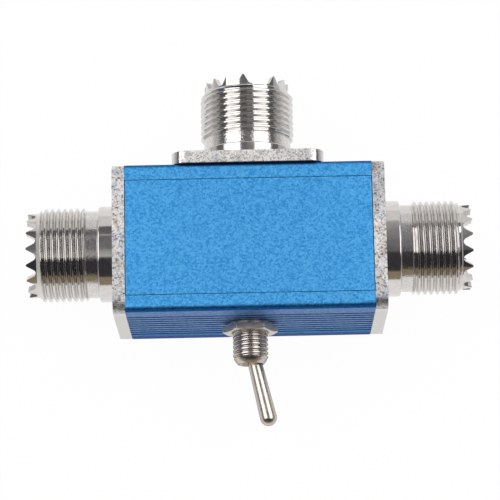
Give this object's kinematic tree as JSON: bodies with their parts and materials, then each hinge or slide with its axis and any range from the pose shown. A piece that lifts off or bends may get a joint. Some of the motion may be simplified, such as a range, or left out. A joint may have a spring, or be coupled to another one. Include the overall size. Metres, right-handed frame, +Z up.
{
  "type": "coaxial antenna switch",
  "caption": "Square blue extruded box with threaded coaxial ports on three sides and a bat toggle that joins the centre port to either end port.",
  "frame": {"origin": "under the middle of the box, on the plane that the lower edges of the port flanges rest on", "axes": "+X from the left port to the right port, +Y from the toggle to the centre port, +Z up through the slide-in cover"},
  "size_m": [0.075, 0.0594, 0.0254],
  "materials": {
    "blue_anodised_aluminium": "blue anodised over a fine blasted grain",
    "nickel_plated_shell": "bright nickel plate, turned",
    "ptfe": "white, waxy",
    "silver_plated_contact": "silver plate",
    "zinc_plated_steel": "bright zinc plate",
    "nickel_plated_toggle": "nickel plate, slightly warm",
    "red_phenolic": "moulded, dull",
    "white_nylon": "smooth",
    "spring_steel": "drawn wire",
    "tinned_copper": "tinned solid wire",
    "solder": "bright, smooth"
  },
  "bodies": {
    "housing": {"main_channel": "blue_anodised_aluminium", "slide_cover": "blue_anodised_aluminium", "left_port_shell": "nickel_plated_shell", "right_port_shell": "nickel_plated_shell", "centre_port_shell": "nickel_plated_shell", "left_port_insulator": "ptfe", "right_port_insulator": "ptfe", "centre_port_insulator": "ptfe", "left_port_contact": "silver_plated_contact", "right_port_contact": "silver_plated_contact", "centre_port_contact": "silver_plated_contact", "left_flange_screws": "zinc_plated_steel", "right_flange_screws": "zinc_plated_steel", "centre_flange_screws": "zinc_plated_steel", "toggle_bushing": "nickel_plated_toggle", "hex_nut": "nickel_plated_toggle", "lock_washer": "zinc_plated_steel", "toggle_frame": "zinc_plated_steel", "toggle_case": "red_phenolic", "left_terminal": "silver_plated_contact", "common_terminal": "silver_plated_contact", "right_terminal": "silver_plated_contact", "left_wire": "tinned_copper", "right_wire": "tinned_copper", "centre_wire": "tinned_copper", "solder_joints": "solder"},
    "lever": {"toggle_lever": "nickel_plated_toggle", "plunger_spring": "spring_steel"},
    "plunger": {"plunger": "white_nylon"},
    "rocker": {"rocker_contact": "silver_plated_contact"}
  },
  "joints": [
    {"name": "lever_throw", "type": "hinge", "parent": "housing", "child": "lever", "pos_m": [-0.00015, -0.0162, 0.0127], "axis": [0, 0, 1], "range_deg": [-25.2, 0]},
    {"name": "rocker_tip", "type": "hinge", "parent": "housing", "child": "rocker", "pos_m": [-0.00015, -0.00383, 0.0127], "axis": [0, 0, 1], "range_deg": [0, 16]},
    {"name": "plunger_slide", "type": "slide", "parent": "lever", "child": "plunger", "axis": [0.2181, -0.9759, 0], "range_m": [0, 0.0004], "stiffness_N_per_m": 1500, "deforming": ["plunger_spring"]}
  ],
  "couplings": [
    {"joint": "rocker_tip", "follows": "lever_throw", "ratio": -0.63492}
  ]
}
